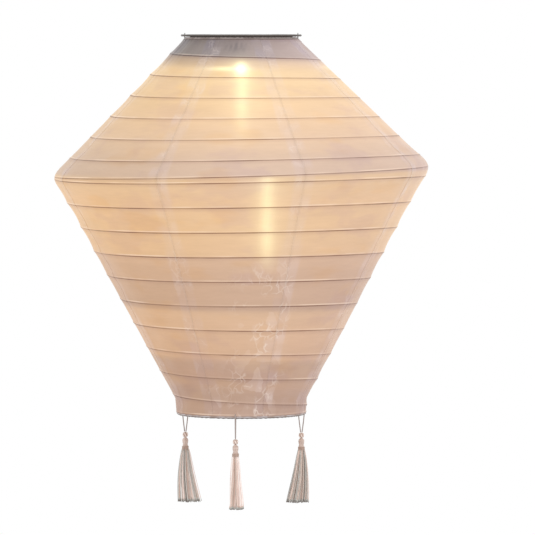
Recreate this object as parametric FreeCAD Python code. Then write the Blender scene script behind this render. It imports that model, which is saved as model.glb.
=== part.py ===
"""Hanging nylon lantern: a two-cone shade on a spiral wire, a solar light unit and three tassels.

Millimetres. +Z is up, and the origin is the centre of the top rim, on top of its hem.
Angles on the shade are counted from the front (-Y), positive towards the right (+X).
"""

import FreeCAD, Part
import math
import os
from FreeCAD import Vector

# --- Shade: overall shape -------------------------------------------------------------------
hoop_radius = 152.5
hoop_depth = 108.0
hoop_tilt_deg = 1.7
neck_depth = 292.0
neck_radius = 53.5
bottom_depth = 304.0
top_ring_radius = 44.2
bottom_ring_radius = 51.0
gore_count = 8
first_seam_deg = -70.5
seam_gap_deg = 0.1
cloth_thickness = 0.5

# --- Wires and hems -------------------------------------------------------------------------
ring_wire = 2.0
hem_thickness = 0.6
hem_gap = 0.05
hoop_wire = 1.6
spiral_wire = 1.0
spiral_pitch = 22.65
spiral_first_front = 20.3
spiral_end_margin = 6.0
spiral_lean_deg = 0.7
spiral_runs_per_turn = 36
wire_gap = 0.1

# --- Clearances -----------------------------------------------------------------------------
body_gap = 0.3
running_gap = 0.08
seat_gap = 0.05

# --- Bail handle ----------------------------------------------------------------------------
bail_wire = 1.6
bail_bend = 1.6
bail_pivot_height = 1.3
lug_thickness = 1.0
lug_radius = 2.0

# --- Light unit: housing --------------------------------------------------------------------
flange_radius = 44.6
flange_thickness = 1.8
cup_radius = 41.5
cup_wall = 1.6
gasket_thickness = 0.9
spigot_depth = 3.0
screw_circle = 35.5
screw_shank = 2.5
screw_head = 4.6
screw_head_height = 1.8
post_radius = 3.2
post_split_depth = 8.0

# --- Light unit: contents -------------------------------------------------------------------
window_side = 50.0
window_thickness = 0.9
cell_side = 46.0
cell_thickness = 0.4
board_length = 36.0
board_width = 24.0
board_thickness = 1.2
board_depth = 11.2
board_offset = -6.0
led_diameter = 5.0
led_collar = 5.8
led_tip_depth = 26.5
led_boss_drop = 4.0
battery_diameter = 10.5
battery_length = 44.5
battery_offset = 22.0
battery_headroom = 2.75
battery_lift = 2.15
contact_thickness = 0.4
spring_room = 2.4
switch_x = 14.0
switch_y = -27.0
switch_travel = 3.0
lead_diameter = 1.0

# --- Stretcher ------------------------------------------------------------------------------
leg_wire = 2.0
leg_radius = 37.0
leg_flare_height = 34.0
leg_boss_drop = 6.0

# --- Tassels --------------------------------------------------------------------------------
tassel_angles_deg = (-116.0, -5.0, 107.0)
cord_diameter = 0.9
knot_radius = 2.2
knot_drop = 20.0
head_radius = 2.3
head_length = 11.0
binding_thickness = 0.5
binding_length = 3.0
skirt_length = 41.5
skirt_top_radius = 2.8
skirt_bottom_radius = 9.5
skirt_drift = 3.6

# --- Worked out from the sizes above --------------------------------------------------------
hem_radius = ring_wire / 2 + hem_thickness
cord_half_width = hem_radius + body_gap + cord_diameter / 2 + 0.35
top_ring_height = -hem_radius
bottom_ring_height = -bottom_depth
cloth_top_radius = top_ring_radius + hem_radius + cloth_thickness
cloth_bottom_radius = bottom_ring_radius + hem_radius - 0.2
cloth_bottom_height = bottom_ring_height + cord_half_width + cord_diameter / 2 + body_gap
flange_height = body_gap
flange_top = flange_height + flange_thickness
battery_depth = battery_headroom + battery_diameter / 2
cup_floor = -(battery_headroom + battery_diameter + battery_lift)
cup_floor_top = cup_floor + cup_wall
cup_rim = flange_height - gasket_thickness - 2 * seat_gap
foot_height = bottom_ring_height + hem_radius + body_gap + leg_wire / 2
spiral_inset = cloth_thickness + 1.5 * (spiral_wire / 2 + wire_gap)
hoop_inset = cloth_thickness + 1.5 * (hoop_wire / 2 + wire_gap)
hoop_dodge = hoop_wire / 2 + spiral_wire / 2 + 6 * wire_gap

UP = Vector(0, 0, 1)
ORIGIN = Vector(0, 0, 0)
SMOOTH, MITRED = 0, 1


# --- Plain shapes ---------------------------------------------------------------------------
def cylinder(radius, low, high, x=0.0, y=0.0):
    return Part.makeCylinder(radius, high - low, Vector(x, y, low))


def tube_ring(outer, inner, low, high, x=0.0, y=0.0):
    return cylinder(outer, low, high, x, y).cut(cylinder(inner, low, high, x, y))


def block(x_mid, y_mid, low, x_size, y_size, z_size):
    return Part.makeBox(x_size, y_size, z_size, Vector(x_mid - x_size / 2, y_mid - y_size / 2, low))


def torus(ring_radius, wire_radius, height):
    return Part.makeTorus(ring_radius, wire_radius, Vector(0, 0, height))


def bent_path(points, bends):
    """Straight runs joined by tangent arcs; one bend radius for each inner point."""
    edges = []
    start = points[0]
    for before, corner, after, bend in zip(points, points[1:], points[2:], bends):
        back = (before - corner).normalize()
        ahead = (after - corner).normalize()
        half_turn = (math.pi - back.getAngle(ahead)) / 2
        reach = bend * math.tan(half_turn)
        arc_start = corner + back * reach
        arc_end = corner + ahead * reach
        middle = (back + ahead).normalize()
        arc_middle = corner + middle * (bend / math.cos(half_turn) - bend)
        edges.append(Part.LineSegment(start, arc_start).toShape())
        edges.append(Part.Arc(arc_start, arc_middle, arc_end).toShape())
        start = arc_end
    edges.append(Part.LineSegment(start, points[-1]).toShape())
    return Part.Wire(edges)


def round_bends(points):
    """The largest comfortable bend at each inner point, from its two runs and its turn."""
    bends = []
    for before, corner, after in zip(points, points[1:], points[2:]):
        shorter = min((corner - before).Length, (after - corner).Length)
        turn = (corner - before).getAngle(after - corner)
        bends.append(0.45 * shorter / math.tan(turn / 2))
    return bends


def wire_along(path, radius, start, direction, corner=SMOOTH):
    section = Part.Wire([Part.makeCircle(radius, start, direction)])
    return path.makePipeShell([section], True, False, corner)


def bent_wire(points, bends, radius):
    return wire_along(bent_path(points, bends), radius, points[0], points[1] - points[0])


# --- Shade ----------------------------------------------------------------------------------
SHADE_RINGS = (
    (cloth_top_radius, top_ring_height, 0.0),
    (hoop_radius, -hoop_depth, math.radians(hoop_tilt_deg)),
    (neck_radius, -neck_depth, 0.0),
    (cloth_bottom_radius, cloth_bottom_height, 0.0),
)


def ring_point(ring, angle, inset=0.0):
    radius, height, tilt = ring
    side = (radius - inset) * math.sin(angle)
    return Vector(side * math.cos(tilt), -(radius - inset) * math.cos(angle), height + side * math.sin(tilt))


def slant(upper, lower):
    return math.hypot(upper[0] - lower[0], upper[1] - lower[1])


SLANTS = [slant(upper, lower) for upper, lower in zip(SHADE_RINGS, SHADE_RINGS[1:])]


def shade_point(distance, angle, inset):
    """A point inside the cloth, at a distance down its slope from the top edge."""
    left = distance
    for upper, lower, length in zip(SHADE_RINGS, SHADE_RINGS[1:], SLANTS):
        if left <= length or lower is SHADE_RINGS[-1]:
            share = left / length
            start = ring_point(upper, angle, inset)
            return start + (ring_point(lower, angle, inset) - start) * share
        left -= length


def shade_radius(distance):
    return shade_point(distance, math.pi / 2, 0.0).x


def gore(number):
    """One strip of cloth from the top hem to the bottom hem."""
    step = 2 * math.pi / gore_count
    start = math.radians(first_seam_deg + seam_gap_deg / 2) + step * number
    end = start + step - math.radians(seam_gap_deg)
    middle = (start + end) / 2
    sections = []
    for ring in SHADE_RINGS:
        outer = [ring_point(ring, angle) for angle in (start, middle, end)]
        inner = [ring_point(ring, angle, cloth_thickness) for angle in (start, middle, end)]
        sections.append(Part.Wire([
            Part.Arc(*outer).toShape(),
            Part.LineSegment(outer[2], inner[2]).toShape(),
            Part.Arc(*reversed(inner)).toShape(),
            Part.LineSegment(inner[0], outer[0]).toShape(),
        ]))
    return Part.makeLoft(sections, True, True)


def spiral_point(turns):
    """The wire's centre line: level turns leaned a little, and pushed in where they cross the hoop."""
    angle = 2 * math.pi * turns
    distance = spiral_first_front + spiral_pitch * turns
    lean = shade_radius(distance) * math.sin(angle) * math.tan(math.radians(spiral_lean_deg))
    distance -= lean
    off_hoop = (distance - SLANTS[0]) / (4 * hoop_wire)
    dodge = hoop_dodge * math.exp(-off_hoop * off_hoop)
    return shade_point(distance, angle, spiral_inset + dodge)


def spiral_rib():
    first = (spiral_end_margin - spiral_first_front) / spiral_pitch
    last = (sum(SLANTS) - spiral_end_margin - spiral_first_front) / spiral_pitch
    count = math.ceil((last - first) * spiral_runs_per_turn)
    step = (last - first) / count
    points = [spiral_point(first + number * step) for number in range(count + 1)]
    return wire_along(Part.makePolygon(points), spiral_wire / 2, points[0], points[1] - points[0], MITRED)


def equator_hoop():
    tilt = math.radians(hoop_tilt_deg)
    normal = Vector(-math.sin(tilt), 0, math.cos(tilt))
    return Part.makeTorus(hoop_radius - hoop_inset, hoop_wire / 2, Vector(0, 0, -hoop_depth), normal)


# --- Rims and bail --------------------------------------------------------------------------
lug_inner = top_ring_radius + ring_wire / 2
lug_mid = lug_inner + lug_thickness / 2
bail_radius = lug_inner + lug_thickness + body_gap + bail_bend - 0.1


def lug(side):
    """An ear welded on the ring, with the bail's hole."""
    low = top_ring_height + ring_wire * 0.1
    upright = block(side * lug_mid, 0, low, lug_thickness, 2 * lug_radius, bail_pivot_height - low)
    eye_start = Vector(side * lug_mid - lug_thickness / 2, 0, bail_pivot_height)
    eye = Part.makeCylinder(lug_radius, lug_thickness, eye_start, Vector(1, 0, 0))
    foot = block(side * lug_inner, 0, low, lug_thickness * 2, 2 * lug_radius, ring_wire * 0.4)
    hole = Part.makeCylinder(bail_wire / 2 + running_gap, lug_thickness, eye_start, Vector(1, 0, 0))
    return upright.fuse([eye, foot]).cut(hole)


def top_ring():
    return torus(top_ring_radius, ring_wire / 2, top_ring_height).fuse([lug(-1), lug(1)]).removeSplitter()


def hem(ring_radius, height):
    sleeve = torus(ring_radius, hem_radius, height)
    return sleeve.cut(torus(ring_radius, ring_wire / 2 + hem_gap, height))


def top_hem():
    """The rolled cloth round the top ring, slit where the two lugs come out."""
    slit = block(0, 0, top_ring_height - hem_radius, 2 * (bail_radius + hem_radius),
                 2 * (lug_radius + body_gap), 2 * hem_radius)
    core = block(0, 0, top_ring_height - hem_radius, 2 * (top_ring_radius - hem_radius) - 1.0,
                 2 * (lug_radius + body_gap), 2 * hem_radius)
    return hem(top_ring_radius, top_ring_height).cut(slit.cut(core))


def bail_handle():
    """Half a hoop with its ends turned in through the lugs, lying flat in front of the cap."""
    pin_end = lug_inner + 0.1
    bend_x = bail_radius - bail_bend
    corner = math.sqrt(0.5) * bail_bend
    edges = [
        Part.LineSegment(Vector(pin_end, 0, 0), Vector(bend_x, 0, 0)).toShape(),
        Part.Arc(
            Vector(bend_x, 0, 0),
            Vector(bend_x + corner, corner - bail_bend, 0),
            Vector(bail_radius, -bail_bend, 0),
        ).toShape(),
        Part.Arc(
            Vector(bail_radius, -bail_bend, 0),
            Vector(0, -bail_bend - bail_radius, 0),
            Vector(-bail_radius, -bail_bend, 0),
        ).toShape(),
        Part.Arc(
            Vector(-bail_radius, -bail_bend, 0),
            Vector(-bend_x - corner, corner - bail_bend, 0),
            Vector(-bend_x, 0, 0),
        ).toShape(),
        Part.LineSegment(Vector(-bend_x, 0, 0), Vector(-pin_end, 0, 0)).toShape(),
    ]
    handle = wire_along(Part.Wire(edges), bail_wire / 2, Vector(pin_end, 0, 0), Vector(1, 0, 0))
    handle.translate(Vector(0, 0, bail_pivot_height))
    return handle


# --- Light unit: housing --------------------------------------------------------------------
def screw_places():
    angles = [math.radians(90 + 120 * number) for number in range(3)]
    return [(screw_circle * math.cos(angle), screw_circle * math.sin(angle)) for angle in angles]


pocket_floor = flange_top - window_thickness - cell_thickness - 3 * seat_gap
backing_low = pocket_floor - cup_wall
boss_radius = leg_wire / 2 + 2.0
rib_thickness = 1.6
bay_width = battery_diameter + 2 * body_gap
rib_height = battery_diameter * 0.75


def housing_top():
    """The lid: a flange that rests on the rim, a spigot, three posts and the window's pocket."""
    lid = cylinder(flange_radius, flange_height, flange_top)
    spigot_outer = cup_radius - cup_wall - seat_gap
    parts = [tube_ring(spigot_outer, spigot_outer - cup_wall, flange_height - spigot_depth, flange_height)]
    parts.append(block(0, 0, backing_low, window_side + 4, window_side + 4, flange_height - backing_low))
    for x, y in screw_places():
        parts.append(cylinder(post_radius, -post_split_depth + seat_gap, flange_height, x, y))
    lid = lid.fuse(parts)
    cuts = [block(0, 0, flange_top - window_thickness - seat_gap, window_side + 2 * seat_gap,
                  window_side + 2 * seat_gap, window_thickness + 1)]
    cuts.append(block(0, 0, pocket_floor, cell_side + 2 * seat_gap, cell_side + 2 * seat_gap, 2))
    for x in (-4, 4):
        cuts.append(cylinder(lead_diameter / 2 + running_gap, backing_low - 1, pocket_floor + 1, x, -4))
    for x, y in screw_places():
        cuts.append(cylinder(screw_shank / 2, -post_split_depth - 1, flange_height - 1.5, x, y))
    edge_cut = lid.cut(cuts).removeSplitter()
    rim_edges = [edge for edge in edge_cut.Edges
                 if edge.BoundBox.ZLength < 0.01
                 and abs(edge.BoundBox.ZMax - flange_top) < 0.01
                 and edge.BoundBox.XLength > 2 * flange_radius - 0.1]
    return edge_cut.makeFillet(flange_thickness * 0.3, rim_edges)


def housing_base():
    """The cup: floor, wall, screw posts, leg bosses, LED boss, board posts and the battery bay."""
    cup = cylinder(cup_radius, cup_floor, cup_rim).cut(
        cylinder(cup_radius - cup_wall, cup_floor_top, cup_rim + 1))
    parts = [cylinder(led_collar / 2 + cup_wall, cup_floor - led_boss_drop, cup_floor_top)]
    for x, y in screw_places():
        parts.append(cylinder(post_radius, cup_floor, -post_split_depth, x, y))
    for side in (-1, 1):
        parts.append(cylinder(boss_radius, cup_floor - leg_boss_drop, cup_floor_top, side * leg_radius, 0))
        board_post_x = side * (board_length / 2 - 3)
        board_low = -board_depth - seat_gap
        parts.append(cylinder(2.0, cup_floor, board_low, board_post_x, board_offset))
    rib_gap = contact_thickness + 4 * seat_gap + rib_thickness / 2
    for x in (battery_length / 2 + rib_gap, -battery_length / 2 - spring_room - rib_gap):
        parts.append(block(x, battery_offset, cup_floor, rib_thickness, bay_width, cup_wall + rib_height))
    cup = cup.fuse(parts)
    cuts = [cylinder(led_diameter / 2 + running_gap, cup_floor - led_boss_drop - 1, cup_floor_top + 1)]
    cuts.append(cylinder(led_collar / 2 + running_gap, cup_floor - led_boss_drop + 1.8, cup_floor_top + 1))
    for x, y in screw_places():
        cuts.append(cylinder(screw_shank / 2 + running_gap, cup_floor - 1, -post_split_depth + 1, x, y))
        cuts.append(cylinder(screw_head / 2 + body_gap, cup_floor - 1, cup_floor + screw_head_height + 1.2, x, y))
    for side in (-1, 1):
        cuts.append(cylinder(leg_wire / 2, cup_floor - leg_boss_drop - 1, cup_floor_top - 0.8,
                             side * leg_radius, 0))
    cuts.append(block(0, battery_offset, cup_floor - 1, battery_length + 2 * body_gap - 0.1, bay_width, cup_wall + 2))
    cuts.append(block(switch_x, switch_y, cup_floor - 1, 2.4 + switch_travel + 2 * body_gap, 2.4 + 2 * body_gap,
                      cup_wall + 2))
    return cup.cut(cuts).removeSplitter()


def housing_gasket():
    low = cup_rim + seat_gap
    return tube_ring(cup_radius - seat_gap, cup_radius - cup_wall + seat_gap, low, low + gasket_thickness)


def housing_screw(x, y):
    head_top = cup_floor + screw_head_height + 1.2 - seat_gap
    head = cylinder(screw_head / 2, head_top - screw_head_height, head_top, x, y)
    shank = cylinder(screw_shank / 2, head_top, -spigot_depth, x, y)
    recess = block(x, y, head_top - screw_head_height, 2.6, 0.7, 0.9).fuse(
        block(x, y, head_top - screw_head_height, 0.7, 2.6, 0.9))
    return head.fuse(shank).cut(recess)


def housing_screws():
    return Part.makeCompound([housing_screw(x, y) for x, y in screw_places()])


# --- Light unit: contents -------------------------------------------------------------------
def solar_window():
    plate = block(0, 0, flange_top - window_thickness, window_side, window_side, window_thickness)
    upright = [edge for edge in plate.Edges if edge.BoundBox.ZLength > window_thickness * 0.9]
    return plate.makeFillet(1.0, upright)


def solar_cell():
    return block(0, 0, pocket_floor + seat_gap, cell_side, cell_side, cell_thickness)


def circuit_board():
    board = block(0, board_offset, -board_depth, board_length, board_width, board_thickness)
    pins = [cylinder(0.35, -board_depth - 1, 0, side * 1.27, 0) for side in (-1, 1)]
    return board.cut(pins)


board_top = -board_depth + board_thickness + seat_gap


def control_chip():
    body = block(8, board_offset - 5, board_top, 5.0, 4.0, 1.5)
    legs = [block(8 + 1.27 * place, board_offset - 5, board_top, 0.4, 6.0, 0.4) for place in (-1.5, -0.5, 0.5, 1.5)]
    return body.fuse(legs).removeSplitter()


def boost_coil():
    core = cylinder(1.6, board_top, board_top + 5.0, -9, board_offset - 5)
    ends = [cylinder(3.2, board_top, board_top + 0.8, -9, board_offset - 5),
            cylinder(3.2, board_top + 4.2, board_top + 5.0, -9, board_offset - 5)]
    winding = cylinder(2.7, board_top + 0.8, board_top + 4.2, -9, board_offset - 5)
    return core.fuse(ends + [winding]).removeSplitter()


def led():
    """A 5 mm LED with its collar and its two legs up to the board."""
    radius = led_diameter / 2
    dome_height = -led_tip_depth + radius
    collar_low = cup_floor - led_boss_drop + 1.8 + seat_gap
    body = cylinder(radius, dome_height, collar_low)
    dome = Part.makeSphere(radius, Vector(0, 0, dome_height))
    collar = cylinder(led_collar / 2, collar_low, collar_low + 1.0)
    legs = [cylinder(0.3, collar_low + 1.0, board_top + 0.5, side * 1.27, 0) for side in (-1, 1)]
    return body.fuse([dome, collar] + legs).removeSplitter()


def battery_cell():
    """An AAA cell lying along X, with its nub at the right."""
    start = Vector(-battery_length / 2, battery_offset, -battery_depth)
    can = Part.makeCylinder(battery_diameter / 2, battery_length - 0.9, start, Vector(1, 0, 0))
    can = can.makeFillet(0.4, [edge for edge in can.Edges if edge.BoundBox.XLength < 0.01])
    nub_start = start + Vector(battery_length - 1.0, 0, 0)
    return can.fuse(Part.makeCylinder(1.9, 1.0, nub_start, Vector(1, 0, 0)))


contact_low = cup_floor_top + seat_gap


def battery_contact_positive():
    x = battery_length / 2 + 3 * seat_gap + contact_thickness / 2
    return block(x, battery_offset, contact_low, contact_thickness, battery_diameter - 2.5, 9.0)


def battery_contact_negative():
    """A strip on the rib with a bowed leaf that reaches the cell's flat end."""
    strip_x = -battery_length / 2 - spring_room - seat_gap
    width = battery_diameter - 3.5
    strip = block(strip_x, battery_offset, contact_low, contact_thickness, width, 10.0)
    bow_height = 3.5
    radius = (bow_height * bow_height + spring_room * spring_room) / (2 * spring_room)
    centre = Vector(-battery_length / 2 - 2 * seat_gap - radius, battery_offset - width / 2, -battery_depth)
    outer = Part.makeCylinder(radius, width, centre, Vector(0, 1, 0))
    inner = Part.makeCylinder(radius - contact_thickness, width, centre, Vector(0, 1, 0))
    keep = block(strip_x + spring_room, battery_offset, -battery_depth - bow_height, 2 * spring_room, width,
                 2 * bow_height)
    return strip.fuse(outer.cut(inner).common(keep)).removeSplitter()


def battery_door():
    """A plug that fills the bay's opening, on a cover plate with two finger grooves."""
    plug = block(0, battery_offset, cup_floor, battery_length - body_gap, battery_diameter, 1.2)
    cover_low = cup_floor - body_gap - 1.2
    cover = block(0, battery_offset, cover_low, battery_length + 5, battery_diameter + 5, 1.2)
    cover = cover.makeFillet(2.0, [edge for edge in cover.Edges if edge.BoundBox.ZLength > 1.0])
    neck = block(0, battery_offset, cover_low + 1.0, battery_length - 2, battery_diameter - 1, 1.0)
    grooves = [block(8 * side, battery_offset, cover_low, 1.2, battery_diameter - 3, 0.5) for side in (-1, 0, 1)]
    return cover.fuse([plug, neck]).cut(grooves).removeSplitter()


def switch_body():
    return block(switch_x, switch_y, cup_floor_top + seat_gap, 11.0, 5.4, 4.5)


def switch_slider():
    """The knob below the floor and the stem through its slot, at the light-on end."""
    x = switch_x - switch_travel / 2
    stem_top = cup_floor_top - body_gap
    stem = block(x, switch_y, cup_floor - body_gap, 2.4, 2.4, stem_top - cup_floor + body_gap)
    knob_low = cup_floor - body_gap - 2.0
    knob = block(x, switch_y, knob_low, 4.4, 5.0, 2.0)
    grooves = [block(x + 1.2 * step, switch_y, knob_low, 0.5, 5.0, 0.5) for step in (-1, 0, 1)]
    return knob.fuse(stem).cut(grooves).removeSplitter()


def lead(points):
    return bent_wire(points, round_bends(points), lead_diameter / 2)


def solar_lead(side):
    top = pocket_floor + seat_gap
    return lead([
        Vector(4 * side, -4, top),
        Vector(4 * side, -4, backing_low - 1.5),
        Vector(12 * side, -4 + board_offset / 2, -6.5),
        Vector(12 * side, -4 + board_offset / 2, board_top),
    ])


def battery_lead(side):
    inner = battery_offset - battery_diameter / 2
    end_x = battery_length / 2 + contact_thickness + 3 * seat_gap
    if side < 0:
        end_x = battery_length / 2 + spring_room + contact_thickness
    return lead([
        Vector(side * (end_x - 0.2), inner + 0.6, -4.6),
        Vector(side * (end_x - 0.6), inner - 3.4, -4.2),
        Vector(side * (board_length / 2 - 3), board_offset + 8, -5.2),
        Vector(side * (board_length / 2 - 3), board_offset + 8, board_top),
    ])


def stretcher_leg(side):
    """A sprung wire from its boss down to a foot that presses on the bottom rim."""
    x_foot = bottom_ring_radius - hem_radius - leg_wire
    points = [
        Vector(side * leg_radius, 0, cup_floor_top - 0.8),
        Vector(side * leg_radius, 0, foot_height + leg_flare_height),
        Vector(side * x_foot, 0, foot_height),
        Vector(side * (bottom_ring_radius + 0.2), 0, foot_height),
    ]
    return bent_wire(points, [leg_wire * 6, leg_wire * 1.2], leg_wire / 2)


# --- Tassels --------------------------------------------------------------------------------
def cord_route():
    """The loop's route beside its ring: out from the knot, round the rim and back to the knot."""
    low = -knot_drop + knot_radius + body_gap
    top = cord_half_width
    half = [(0.6, low), (cord_half_width - 0.45, -6.0), (cord_half_width, top)]
    right = [Vector(x, 0, z) for x, z in half]
    left = [Vector(-x, 0, z) for x, z in half]
    return left + right[::-1]


def tassel_pieces():
    """One tassel beside an upright rim, radial along X, the rim's centre at the origin."""
    route = cord_route()
    bends = round_bends(route)
    cord = bent_wire(route, bends, cord_diameter / 2)
    knot = Part.makeSphere(knot_radius, Vector(0, 0, -knot_drop))
    head_top = -knot_drop - knot_radius
    head_low = head_top - head_length
    head = cylinder(head_radius, head_low, head_top)
    head = head.makeFillet(head_radius * 0.6, [edge for edge in head.Edges
                                               if edge.BoundBox.ZMin > head_top - 0.01])
    binding = tube_ring(head_radius + binding_thickness, head_radius + 0.02, head_low + 1, head_low + 1 + binding_length)
    skirt_top = head_low - seat_gap
    sections = []
    for share, swell in ((0.0, 0.0), (0.25, 0.38), (0.6, 0.74), (1.0, 1.0)):
        radius = skirt_top_radius + (skirt_bottom_radius - skirt_top_radius) * swell
        centre = Vector(-skirt_drift * share * share, 0, skirt_top - skirt_length * share)
        sections.append(Part.Wire([Part.makeCircle(radius, centre, UP)]))
    skirt = Part.makeLoft(sections, True, False)
    return {"cord": cord, "knot": knot, "head": head, "binding": binding, "skirt": skirt}


def place_tassel(shape, angle_deg):
    placed = shape.copy()
    placed.translate(Vector(bottom_ring_radius, 0, bottom_ring_height))
    placed.rotate(ORIGIN, UP, angle_deg - 90)
    return placed


# --- All nodes ------------------------------------------------------------------------------
def all_nodes():
    nodes = {
        "top_ring": top_ring(),
        "top_hem": top_hem(),
        "spiral_rib": spiral_rib(),
        "equator_hoop": equator_hoop(),
        "bottom_ring": torus(bottom_ring_radius, ring_wire / 2, bottom_ring_height),
        "bottom_hem": hem(bottom_ring_radius, bottom_ring_height),
        "bail_handle": bail_handle(),
        "housing_top": housing_top(),
        "housing_base": housing_base(),
        "housing_gasket": housing_gasket(),
        "housing_screws": housing_screws(),
        "solar_window": solar_window(),
        "solar_cell": solar_cell(),
        "circuit_board": circuit_board(),
        "control_chip": control_chip(),
        "boost_coil": boost_coil(),
        "led": led(),
        "battery_cell": battery_cell(),
        "battery_contact_positive": battery_contact_positive(),
        "battery_contact_negative": battery_contact_negative(),
        "battery_door": battery_door(),
        "switch_body": switch_body(),
        "switch_slider": switch_slider(),
        "solar_lead_red": solar_lead(1),
        "solar_lead_black": solar_lead(-1),
        "battery_lead_red": battery_lead(1),
        "battery_lead_black": battery_lead(-1),
        "stretcher_leg_right": stretcher_leg(1),
        "stretcher_leg_left": stretcher_leg(-1),
    }
    for number in range(gore_count):
        nodes[f"shade_gore_{number + 1}"] = gore(number)
    pieces = tassel_pieces()
    for number, angle in enumerate(tassel_angles_deg, start=1):
        for name, shape in pieces.items():
            nodes[f"tassel_{number}_{name}"] = place_tassel(shape, angle)
    return nodes


def main():
    os.makedirs("parts", exist_ok=True)
    for name, shape in all_nodes().items():
        shape.exportStep(f"parts/{name}.step")
    route = cord_route()
    lengths = [(b - a).Length for a, b in zip(route, route[1:])]
    print("tassel cord: bends", [round(bend, 2) for bend in round_bends(route)], "runs",
          [round(length, 1) for length in lengths])


main()
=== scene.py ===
import math

import bmesh
import bpy
import numpy as np
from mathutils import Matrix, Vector


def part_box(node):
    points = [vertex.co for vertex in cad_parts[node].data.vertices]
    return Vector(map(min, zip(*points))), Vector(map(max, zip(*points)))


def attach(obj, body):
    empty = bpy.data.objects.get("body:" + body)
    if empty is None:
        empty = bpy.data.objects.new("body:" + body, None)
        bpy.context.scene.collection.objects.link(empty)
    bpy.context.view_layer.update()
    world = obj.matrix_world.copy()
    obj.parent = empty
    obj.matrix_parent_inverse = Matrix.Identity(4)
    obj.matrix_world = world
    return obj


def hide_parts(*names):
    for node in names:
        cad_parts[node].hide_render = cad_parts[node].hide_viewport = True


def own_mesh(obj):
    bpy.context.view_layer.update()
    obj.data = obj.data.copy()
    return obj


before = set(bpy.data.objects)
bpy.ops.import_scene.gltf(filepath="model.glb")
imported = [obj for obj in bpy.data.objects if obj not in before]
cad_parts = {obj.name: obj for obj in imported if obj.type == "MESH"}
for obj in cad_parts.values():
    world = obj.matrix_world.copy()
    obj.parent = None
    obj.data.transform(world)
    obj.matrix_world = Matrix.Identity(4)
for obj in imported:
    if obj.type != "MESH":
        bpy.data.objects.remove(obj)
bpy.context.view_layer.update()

rng = np.random.default_rng(12)
MM = 0.001
FULL_TURN = 2 * math.pi


# --- The shade's shape, partly read from the parts in model.glb --------------------------------
GORE_COUNT = 8
FIRST_SEAM = math.radians(-70.5)
SPIRAL_PITCH = 22.65 * MM
SPIRAL_FIRST_FRONT = 20.3 * MM
SPIRAL_END_MARGIN = 6.0 * MM
SPIRAL_LEAN = math.tan(math.radians(0.7))
NECK_DEPTH = 292.0 * MM
NECK_RADIUS = 53.5 * MM
CLOTH = 0.5 * MM


def gore_nodes(number):
    return [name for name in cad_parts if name.startswith("shade_gore_") and name.endswith(f"_{number}")]


def union_box(names):
    boxes = [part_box(name) for name in names]
    low = np.min([box[0] for box in boxes], axis=0)
    high = np.max([box[1] for box in boxes], axis=0)
    return low, high


all_gores = [name for number in range(1, GORE_COUNT + 1) for name in gore_nodes(number)]
shade_low, shade_high = union_box(all_gores)
hoop_low, hoop_high = union_box(["equator_hoop"])
hem_low, hem_high = union_box(["bottom_hem"])
top_hem_low, top_hem_high = union_box(["top_hem"])
HOOP_RADIUS = (shade_high[0] - shade_low[0]) / 2
HOOP_HEIGHT = (hoop_low[2] + hoop_high[2]) / 2
HOOP_WIRE = 1.6 * MM
HOOP_TILT = math.asin((hoop_high[2] - hoop_low[2] - HOOP_WIRE) / (hoop_high[0] - hoop_low[0]))
HEM_RADIUS = (hem_high[2] - hem_low[2]) / 2
BOTTOM_RING = (hem_high[0] - hem_low[0]) / 2 - HEM_RADIUS
BOTTOM_HEIGHT = (hem_low[2] + hem_high[2]) / 2
TOP_RING = (top_hem_high[1] - top_hem_low[1]) / 2 - HEM_RADIUS
TOP_HEIGHT = (top_hem_low[2] + top_hem_high[2]) / 2
# (radius, height, tilt) of the cloth at the top hem, the hoop, the neck and the bottom hem
SHADE_RINGS = (
    (TOP_RING + HEM_RADIUS + CLOTH, TOP_HEIGHT, 0.0),
    (HOOP_RADIUS, HOOP_HEIGHT, HOOP_TILT),
    (NECK_RADIUS, -NECK_DEPTH, 0.0),
    (BOTTOM_RING + HEM_RADIUS * 0.95, BOTTOM_HEIGHT + HEM_RADIUS * 0.35, 0.0),
)
SLANTS = [math.hypot(a[0] - b[0], a[1] - b[1]) for a, b in zip(SHADE_RINGS, SHADE_RINGS[1:])]
TOTAL_SLANT = sum(SLANTS)


def ring_points(ring, angle, inset):
    radius, height, tilt = ring
    side = (radius - inset) * np.sin(angle)
    forward = -(radius - inset) * np.cos(angle)
    return np.stack([side * math.cos(tilt), forward, height + side * math.sin(tilt)], -1)


EQUATOR_REACH = 9.0 * MM


def shade_points(distance, angle, inset):
    """Points of the cloth down its slope from the top hem, rounded over the hoop; angle 0 is the front."""
    points = cone_points(distance, angle, inset)
    share = np.clip((distance - SLANTS[0] + EQUATOR_REACH) / (2 * EQUATOR_REACH), 0, 1)[..., None]
    full = np.ones(np.shape(distance))
    above = cone_points((SLANTS[0] - EQUATOR_REACH) * full, angle, inset)
    corner = cone_points(SLANTS[0] * full, angle, inset)
    below = cone_points((SLANTS[0] + EQUATOR_REACH) * full, angle, inset)
    arc = above * (1 - share) ** 2 + corner * 2 * share * (1 - share) + below * share ** 2
    return np.where((share > 0) & (share < 1), arc, points)


def cone_points(distance, angle, inset):
    """The same without the rounding: straight from ring to ring."""
    starts = np.cumsum([0.0] + SLANTS)
    result = np.zeros(np.shape(distance) + (3,))
    for number, (upper, lower) in enumerate(zip(SHADE_RINGS, SHADE_RINGS[1:])):
        last = number == len(SLANTS) - 1
        here = distance >= starts[number] if number else np.ones_like(distance, bool)
        if not last:
            here &= distance < starts[number + 1]
        share = ((distance - starts[number]) / SLANTS[number])[..., None]
        above = ring_points(upper, angle, inset)
        below = ring_points(lower, angle, inset)
        result = np.where(here[..., None], above + (below - above) * share, result)
    return result


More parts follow.
